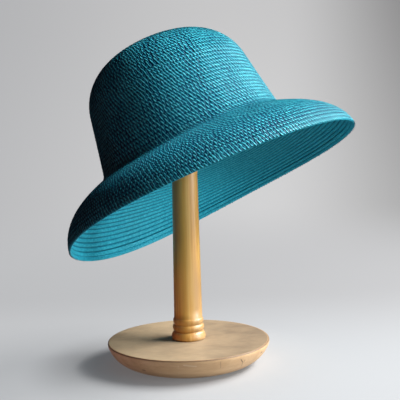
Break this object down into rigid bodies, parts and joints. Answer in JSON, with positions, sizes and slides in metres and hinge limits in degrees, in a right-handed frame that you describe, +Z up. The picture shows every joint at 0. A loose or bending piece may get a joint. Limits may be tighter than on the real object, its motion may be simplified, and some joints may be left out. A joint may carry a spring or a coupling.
{
  "type": "wide brim straw hat on a wooden hat stand",
  "caption": "Teal wide brim hat of sewn straw braid with a rounded crown and drooping brim, tilted on a turned wooden hat stand with a round base.",
  "frame": {"origin": "middle of the stand's flat underside", "axes": "+Z up along the post; +X to the side where the brim is raised; +Y to the back, so the hat leans back and tips to -X"},
  "size_m": [0.2924, 0.2905, 0.3478],
  "materials": {
    "straw": "dyed teal straw braid, sewn in rows, with a soft sheen",
    "post_wood": "golden turned wood under a satin varnish",
    "base_wood": "paler turned wood, lightly waxed"
  },
  "bodies": {
    "root": {"crown": "straw", "brim": "straw", "brim_edge": "straw", "stand_base": "base_wood", "stand_post": "post_wood", "stand_head": "post_wood"}
  },
  "joints": []
}
